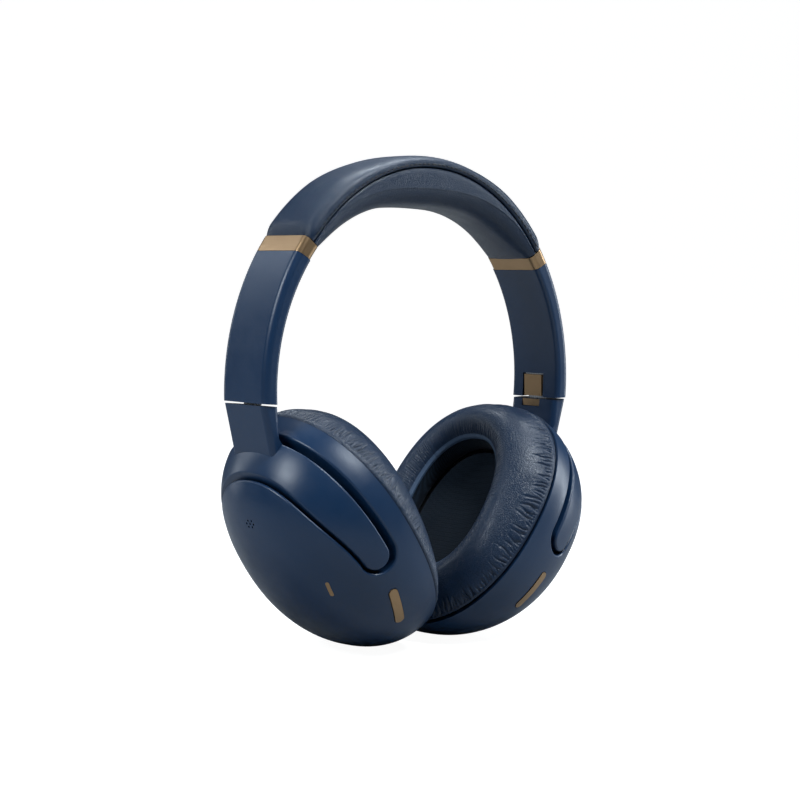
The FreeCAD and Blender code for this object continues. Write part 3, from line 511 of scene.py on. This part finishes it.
def end_share(turn, reach):
    """0 at the trim ring, rising to 1 over a stretch of the band reach millimetres long."""
    left = (CROWN_END - abs(turn)) * ARCH_HALF_WIDTH
    return math.sin(min(left / reach, 1.0) * math.pi / 2) ** 0.8


def sweep_crown(name, section, count, *materials):
    """Sweeps closed sections (depth, y) from one trim ring over the crown to the other."""
    points = []
    turns = [CROWN_END * (2 * step / (count - 1) - 1) for step in range(count)]
    sections = [section(turn) for turn in turns]
    for turn, outline in zip(turns, sections):
        start, along = arch_point(turn), inward_at(turn)
        for depth, y in outline:
            x, z = start + along * depth
            points.append((x, y, z))
    size = len(sections[0])
    faces = grid_faces(count, size, False)
    faces.append(tuple(range(size)))
    faces.append(tuple(range((count - 1) * size, count * size)))
    return make_piece(name, points, faces, *materials)


def cover_section(turn):
    """The leather cover's cross-section: full back, round edges and a tucked seam."""
    full = end_share(turn, 5.0)
    shoulder = smoothstep(abs(turn), math.radians(14), math.radians(34))
    half = CROWN_HALF_DEPTH - 0.35 + 0.6 * full
    lift = 0.25 - (0.8 + 1.4 * shoulder) * full
    squareness, steps = 0.62, 16
    outer = []
    for step in range(-steps, steps + 1):
        share = step / steps
        angle = share * math.pi / 2
        y = half * math.copysign(abs(math.sin(angle)) ** squareness, share)
        depth = SEAM_DEPTH
        if abs(share) < 1:
            depth *= 1 - abs(math.cos(angle)) ** squareness
        outer.append((lift + (SEAM_DEPTH - lift) / SEAM_DEPTH * depth, y))
    seam = [(3.6, half - 0.12), (3.95, half - 0.45), (4.2, half - 1.0)]
    inner = [(COVER_DEPTH - 0.1, y) for y in (9.0, 4.0, -4.0, -9.0)]
    return outer + seam + inner + other_side(seam)


def cushion_section(turn):
    """The pad's cross-section: tucked under the cover's seam, straight flanks, a full belly."""
    thick = crown_thickness(turn)
    half = CROWN_HALF_DEPTH - 0.3
    top = COVER_DEPTH + 0.05
    room = max(thick - top, 1.2)
    radius = min(6.5, room * 0.8)
    flank = [(top, -half + 1.6), (top + 0.12, -half + 0.7), (top + 0.5, -half + 0.15)]
    for step in range(5):
        flank.append((top + 0.6 + (room - 0.6 - radius) * (step + 1) / 5, -half))
    corner = []
    for step in range(1, 10):
        angle = math.pi / 2 * step / 9
        depth = thick - radius + radius * math.sin(angle)
        corner.append((depth, -half + radius * (1 - math.cos(angle))))
    middle = [(thick, y) for y in (-6.0, -3.0, 0.0, 3.0, 6.0)]
    sag = 2.5 * min(room / 10, 1.0)
    low = corner + middle + other_side(corner)
    belly = [(depth + sag * (0.36 - (y / half) ** 2), y) for depth, y in low]
    return flank + belly + other_side(flank) + [(top, 6.0), (top, 0.0), (top, -6.0)]


def other_side(outline):
    """A run of section points, mirrored front to back and taken in reverse."""
    return [(depth, -y) for depth, y in reversed(outline)]


def build_crown():
    """Cover, cushion and stitches, each in two halves, one for each side."""
    whole = {"crown_cover": crown_cover(), "crown_cushion": crown_cushion()}
    for side_name, side in SIDES.items():
        for node, item in whole.items():
            name = node.replace("crown", "crown_leather") + f"_{side_name}"
            finish_half(half_of(item.data, name, side, SOFT_SHARP), node)
        for node in ("crown_frame", "band_spring", "band_cable"):
            half = half_of(frame["nodes"][node].data, f"{node}_{side_name}", side, CAD_SHARP)
            finish_half(half, node)
        finish_half(crown_stitches(side_name, side), "crown_cover")
    for item in whole.values():
        bpy.data.objects.remove(item)


def crown_cover():
    return sweep_crown("cover", cover_section, 121, MATERIALS["navy_leatherette"])


def crown_cushion():
    """The crown pad: inflated as cloth with its seam and ends held."""
    count = 81
    pad = sweep_crown("pad", cushion_section, count, MATERIALS["navy_leatherette"])
    size = len(cushion_section(0.0))
    sewn = (0, 1, 2, *range(size - 6, size))
    pinned = [row * size + column for row in range(count) for column in sewn]
    pinned += list(range(size)) + list(range((count - 1) * size, count * size))
    puff(pad, pinned, 3.0, 1.2)
    return pad


def crown_stitches(side_name, side):
    """Small thread loops along both edges, just above the seam."""
    pitch, first, margin = 2.6, 0.006, 0.01
    arch_share = 0.93  # the arch's mean radius over its half width, near enough
    points, faces = [], []
    turn = first
    while turn < CROWN_END - margin:
        for edge in (-1, 1):
            add_stitch(points, faces, turn, edge, side)
        turn += pitch / ARCH_HALF_WIDTH * arch_share
    return make_piece(f"crown_stitches_{side_name}", points, faces, STITCH)


def add_stitch(points, faces, turn, edge, side):
    """One stitch: a short six-sided thread, thin at both ends."""
    half_length, depth, proud, sides = 0.85, SEAM_DEPTH, 0.3, 6
    profile = ((-1.0, 0.08), (-0.7, 0.26), (0.0, 0.3), (0.7, 0.26), (1.0, 0.08))
    base = len(points)
    for along, radius in profile:
        here = turn + half_length / ARCH_HALF_WIDTH * along
        start, across = arch_point(here), inward_at(here)
        for corner in range(sides):
            angle = 2 * math.pi * corner / sides
            x, z = start + across * (depth + radius * math.cos(angle))
            y = edge * (CROWN_HALF_DEPTH + proud + radius * math.sin(angle))
            points.append((side * x, y, z))
    loops = grid_faces(len(profile), sides, False)
    loops.append(range(sides))
    loops.append(range(sides * (len(profile) - 1), sides * len(profile)))
    faces.extend(tuple(base + i for i in loop) for loop in loops)


def half_of(mesh, name, side, angle):
    """One half of a mesh that runs through the whole crown, closed at the middle."""
    work = bmesh.new()
    work.from_mesh(mesh)
    bmesh.ops.remove_doubles(work, verts=work.verts, dist=1e-6)
    cut_open = bmesh.ops.bisect_plane(
        work,
        geom=work.verts[:] + work.edges[:] + work.faces[:],
        plane_co=(0, 0, 0),
        plane_no=(-side, 0, 0),
        clear_outer=True,
    )
    rim = [e for e in cut_open["geom_cut"] if isinstance(e, bmesh.types.BMEdge)]
    bmesh.ops.holes_fill(work, edges=rim)
    bmesh.ops.recalc_face_normals(work, faces=work.faces)
    half = bpy.data.meshes.new(name)
    work.to_mesh(half)
    work.free()
    item = bpy.data.objects.new(name, half)
    bpy.context.scene.collection.objects.link(item)
    smooth(item, angle)
    return item


def finish_half(item, node):
    """Gives a crown half its CAD node's material if it has none, bakes its placement and hides the CAD node it
    stands in for.
    """
    if not item.data.materials:
        item.data.materials.append(MATERIALS[SLOTS[node]])
    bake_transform(item)
    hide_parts(node)


# ---------------------------------------------------------------- ear cushions


def cup_point(u, f, h, side):
    """A point of the cup frame in object coordinates, on the given side."""
    spot = CUP_ORIGIN + CUP_UP * u + CUP_FRONT * f + CUP_OUT * h
    return (side * spot.x, spot.y, spot.z)


def to_cup(points, side):
    """The reverse of cup_point, for an array of points."""
    local = points * np.array([side, 1, 1]) - np.array(CUP_ORIGIN)
    axes = np.array([CUP_UP, CUP_FRONT, CUP_OUT])
    return local @ axes.T


def oval(angle, half_length, half_width):
    """A point on the cup's rounded oval, in the cup frame."""
    power = 2 / CUP_EXPONENT
    c, s = math.cos(angle), math.sin(angle)
    u = half_length * math.copysign(abs(c) ** power, c)
    f = half_width * math.copysign(abs(s) ** power, s)
    return u, f


# the pad's cross-section: distance in from the rim, and share of the pad's depth
PAD_SECTION = (
    (2.0, -0.12), (0.9, -0.13), (0.6, -0.06), (0.9, 0.06), (1.7, 0.20), (3.1, 0.37),
    (5.0, 0.55), (7.4, 0.73), (10.3, 0.88), (13.3, 0.975), (16.3, 0.985), (18.9, 0.91),
    (20.9, 0.77), (22.1, 0.57), (22.8, 0.32), (23.0, 0.0), (17.0, 0.0), (11.5, 0.0),
    (6.0, 0.0), (2.2, 0.0),
)
PAD_WIDTH = 23.0
INNER_WALL = 18.5
# columns of the section that are glued or sewn down while the pad is inflated
PAD_HELD = (0, 1, 2, 15, 16, 17, 18, 19)
PAD_ANGLES = 320


def pad_points(side):
    """The pad's section carried round the cup, from the rim's oval to the hole's."""
    points = []
    for step in range(PAD_ANGLES):
        angle = 2 * math.pi * step / PAD_ANGLES
        for inset, share in PAD_SECTION:
            blend = min(inset / PAD_WIDTH, 1.0)
            outer = oval(angle, CUP_HALF_LENGTH, CUP_HALF_WIDTH)
            inner = oval(angle, HOLE_HALF_LENGTH, HOLE_HALF_WIDTH)
            u = outer[0] + (inner[0] - outer[0]) * blend
            f = outer[1] + (inner[1] - outer[1]) * blend
            h = PAD_BASE - share * (PAD_DEPTH + PAD_SLOPE * u)
            points.append(cup_point(u, f, h, side))
    return points


def build_ear_cushion(side_name, side):
    """A stuffed ring: inflated as cloth, then pleated and lined."""
    size = len(PAD_SECTION)
    item = make_piece(
        f"ear_pad_{side_name}",
        pad_points(side),
        grid_faces(PAD_ANGLES, size, True),
        MATERIALS["navy_leatherette"],
        MATERIALS["dark_cloth"],
        PIPING,
    )
    pinned = [row * size + column for row in range(PAD_ANGLES) for column in PAD_HELD]
    puff(item, pinned, 4.0, 1.2)
    subdivided(item, 2)
    pleat(item, side)
    line_with_cloth(item, side)
    smooth(item, ROUND_SHARP)
    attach(item, f"cup_{side_name}")
    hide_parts(f"ear_cushion_{side_name}")


def pad_measures(points, side):
    """Angle round the cup, distance in from the rim and share of the pad's depth."""
    local = to_cup(points, side)
    u, f, h = local.T
    power = CUP_EXPONENT
    reach = (np.abs(u / CUP_HALF_LENGTH) ** power + np.abs(f / CUP_HALF_WIDTH) ** power) ** (
        1 / power
    )
    inset = (1 - reach) * (CUP_HALF_LENGTH + CUP_HALF_WIDTH) / 2
    share = (PAD_BASE - h) / (PAD_DEPTH + PAD_SLOPE * u)
    angle = np.arctan2(f / CUP_HALF_WIDTH, u / CUP_HALF_LENGTH)
    return angle, inset, share


def pleat_pattern(angle, share, seed):
    """Irregular gathered folds: narrow creases that wander and differ in depth."""
    dice = random.Random(seed)
    depth = np.zeros_like(angle)
    position = 0.0
    while position < 2 * math.pi:
        spacing = dice.uniform(0.022, 0.040)
        strength = dice.uniform(0.5, 1.0)
        width = dice.uniform(0.006, 0.010)
        lean = dice.uniform(-0.07, 0.07)
        reach = dice.uniform(0.25, 0.66)
        wander = 0.006 * np.sin(share * 11 + dice.uniform(0, 6))
        away = np.angle(np.exp(1j * (angle - position - lean * share - wander)))
        fade = 1 - smoothstep(share, reach * 0.45, reach)
        depth += strength * fade * np.exp(-((away / width) ** 2))
        position += spacing
    return depth


def pleat(item, side):
    """Presses gathered creases into both walls, as the leatherette is drawn in."""
    crease_depth, swell_height, wrinkle_depth = 0.65, 0.12, 0.22
    outer_seed, inner_seed = (7, 3) if side > 0 else (11, 5)
    points, normals = read_points(item.data), read_normals(item.data)
    angle, inset, share = pad_measures(points, side)
    outside = 1 - smoothstep(inset, 7.0, 11.0)
    rising = smoothstep(share, 0.0, 0.08)
    folds = pleat_pattern(angle, share, outer_seed)
    waves = np.sin(angle * 23 + 2 * np.sin(angle * 5))
    swell = swell_height * waves * (1 - smoothstep(share, 0.3, 0.9))
    amount = outside * rising * (crease_depth * folds - swell)
    inside = smoothstep(inset, 15.0, 18.0)
    wrinkles = pleat_pattern(angle, 1.25 * (1 - share), inner_seed)
    amount += inside * wrinkle_depth * wrinkles
    write_points(item.data, points - normals * amount[:, None])
    hold_clear(item, side)


def hold_clear(item, side):
    """Flattens each pad softly where it would come too near to the other one."""
    closest, softness = 1.0, 0.4
    points = read_points(item.data)
    beyond = np.logaddexp(0, (points[:, 0] * side - closest) / softness)
    points[:, 0] = side * (closest + softness * beyond)
    write_points(item.data, points)


def line_with_cloth(item, side):
    """The inner wall is cloth below a thin raised piping with a shallow groove beside it."""
    piping_share, piping_reach = 0.62, 0.055
    ridge_height, groove_depth = 0.45, 0.12
    points, normals = read_points(item.data), read_normals(item.data)
    _, inset, share = pad_measures(points, side)
    inside = inset > INNER_WALL
    away = np.abs(share - piping_share) / piping_reach
    ridge = inside * np.clip(1 - away**2, 0, 1)
    groove = inside * np.exp(-(((away - 1.6) / 0.7) ** 2))
    relief = ridge_height * ridge - groove_depth * groove
    write_points(item.data, points + normals * relief[:, None])
    kinds = np.zeros(len(points), int)
    kinds[inside & (share < piping_share)] = 1
    kinds[inside & (away < 1)] = 2
    corners = [sorted(kinds[i] for i in polygon.vertices) for polygon in item.data.polygons]
    slots = [2 if kind[-2] == 2 else kind[0] for kind in corners]
    item.data.polygons.foreach_set("material_index", slots)


def build_ear_cloth(side_name, side):
    """The acoustic cloth over the driver: a slightly domed sheet with soft ripples."""
    rings, spokes = 18, 96
    half_length, half_width = HOLE_HALF_LENGTH - 0.2, HOLE_HALF_WIDTH - 0.2
    edge_height, hem_height, dome, ripple = -2.1, -1.0, 1.1, 0.12
    points = []
    for ring in range(rings + 1):
        share = max(ring / rings, 0.02)
        for step in range(spokes):
            angle = 2 * math.pi * step / spokes
            u, f = oval(angle, half_length * share, half_width * share)
            wave = math.sin(7 * angle + 3 * share) * share * (1 - share)
            height = edge_height - dome * (1 - share**2) - ripple * wave
            points.append(cup_point(u, f, height, side))
    for step in range(spokes):
        u, f = oval(2 * math.pi * step / spokes, half_length, half_width)
        points.append(cup_point(u, f, hem_height, side))
    faces = grid_faces(rings + 2, spokes, False)
    faces.append(tuple(range(spokes)))
    faces.append(tuple(range(len(points) - spokes, len(points))))
    item = make_piece(f"ear_cloth_{side_name}", points, faces, MATERIALS["dark_cloth"])
    smooth(item, ROUND_SHARP)
    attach(item, f"cup_{side_name}")
    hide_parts(f"ear_screen_{side_name}")


# ---------------------------------------------------------------- studio

CAMERA_YAW = math.radians(-41.65)
CAMERA_PITCH = math.radians(3.04)
CAMERA_ROLL = math.radians(1.35)
CAMERA_DISTANCE = 759.11
CAMERA_SHIFT = (-1.8, 0.1)
IMAGE_WIDTH = 800
PIXELS_PER_MM = 2.5
SENSOR = 36.0
LIGHT_DISTANCE = 1.1  # metres


def floor_material():
    """Grey to every bounce of light, so that it does not wash the object out; white to the camera."""
    shader = Shader("PaleFloor", roughness=0.9, Specular_IOR_Level=0.1)
    shader.colour(shader.mix(shader.noise(400.0), (0.34, 0.34, 0.34), (0.36, 0.36, 0.36)))
    seen = shader.nodes.new("ShaderNodeLightPath").outputs["Is Camera Ray"]
    shader.surface.inputs["Emission Color"].default_value = (1, 1, 1, 1)
    shader.links.new(shader.math("MULTIPLY", seen, 0.95), shader.surface.inputs["Emission Strength"])
    return shader.material


def build_floor():
    """A pale floor that curves up into a backdrop behind the object; the profile is in metres."""
    front, back, bend, top, half_width = -2.2, 1.6, 0.9, 3.2, 5.0
    steps = 8
    profile = [(front, 0.0), (back, 0.0)]
    for step in range(1, steps + 1):
        angle = math.pi / 2 * step / steps
        profile.append((back + bend * math.sin(angle), bend * (1 - math.cos(angle))))
    profile.append((back + bend, top))
    points = [(x / MM, y / MM, z / MM) for y, z in profile for x in (-half_width, half_width)]
    faces = [(2 * i, 2 * i + 1, 2 * i + 3, 2 * i + 2) for i in range(len(profile) - 1)]
    floor = make_piece("floor", points, faces, floor_material())
    floor.rotation_euler.z = CAMERA_YAW
    floor.location.z = -0.5 * MM
    smooth(floor, ROUND_SHARP)


def build_camera():
    """Looks from the wearer's right front, a little above."""
    right = Vector((math.cos(CAMERA_YAW), math.sin(CAMERA_YAW), 0))
    ahead = Vector(
        (
            -math.sin(CAMERA_YAW) * math.cos(CAMERA_PITCH),
            math.cos(CAMERA_YAW) * math.cos(CAMERA_PITCH),
            -math.sin(CAMERA_PITCH),
        )
    )
    up = right.cross(ahead)
    across = right * math.cos(CAMERA_ROLL) + up * math.sin(CAMERA_ROLL)
    upward = -right * math.sin(CAMERA_ROLL) + up * math.cos(CAMERA_ROLL)
    spot = -ahead * CAMERA_DISTANCE + across * CAMERA_SHIFT[0] + upward * CAMERA_SHIFT[1]
    spot += Vector((0, 0, SPLIT))
    turn = Matrix((across, upward, -ahead)).transposed().to_4x4()
    data = bpy.data.cameras.new("camera")
    data.sensor_width = SENSOR
    data.lens = SENSOR * PIXELS_PER_MM * CAMERA_DISTANCE / IMAGE_WIDTH
    camera = bpy.data.objects.new("camera", data)
    camera.matrix_world = Matrix.Translation(spot * MM) @ turn
    bpy.context.scene.collection.objects.link(camera)
    bpy.context.scene.camera = camera


def area_light(name, azimuth, elevation, size, power):
    """A soft light aimed at the object's middle; azimuth 0 is straight behind the camera.

    Sizes are in metres, angles in degrees and power in watts.
    """
    angle = CAMERA_YAW - math.pi / 2 + math.radians(azimuth)
    lift = math.radians(elevation)
    aim = Vector((0, 0, 0.09))
    spot = aim + LIGHT_DISTANCE * Vector(
        (math.cos(angle) * math.cos(lift), math.sin(angle) * math.cos(lift), math.sin(lift))
    )
    data = bpy.data.lights.new(name, "AREA")
    data.shape = "RECTANGLE"
    data.size, data.size_y = size
    data.energy = power
    data.color = (0.86, 0.94, 1.0)
    light = bpy.data.objects.new(name, data)
    light.location = spot
    light.rotation_euler = (spot - aim).to_track_quat("Z", "Y").to_euler()
    bpy.context.scene.collection.objects.link(light)


def build_lights():
    """A soft key from the upper left, a fill from the upper right, two edge lights and a top panel."""
    area_light("key", -52, 36, (0.4, 0.4), 6.5)
    area_light("upper right", 60, 58, (0.2, 0.5), 10.0)
    area_light("right edge", 112, 12, (0.10, 0.9), 6.0)
    area_light("left edge", -118, 20, (0.12, 0.9), 2.0)
    area_light("top", 165, 62, (0.9, 0.2), 9.0)


def build_world():
    """White to the camera, and only a little light of its own."""
    world = bpy.data.worlds.new("studio")
    world.use_nodes = True
    tree = world.node_tree
    sky = tree.nodes["Background"]
    sky.inputs["Color"].default_value = (0.90, 0.95, 1.0, 1.0)
    seen = tree.nodes.new("ShaderNodeLightPath").outputs["Is Camera Ray"]
    strength = tree.nodes.new("ShaderNodeMapRange")
    tree.links.new(seen, strength.inputs["Value"])
    strength.inputs["To Min"].default_value = 0.04
    strength.inputs["To Max"].default_value = 1.0
    tree.links.new(strength.outputs["Result"], sky.inputs["Strength"])
    bpy.context.scene.world = world
    bpy.context.scene.view_settings.view_transform = "Standard"


dress_cad_nodes()
build_crown()
for side_name, side in SIDES.items():
    build_ear_cushion(side_name, side)
    build_ear_cloth(side_name, side)
build_floor()
build_camera()
build_lights()
build_world()
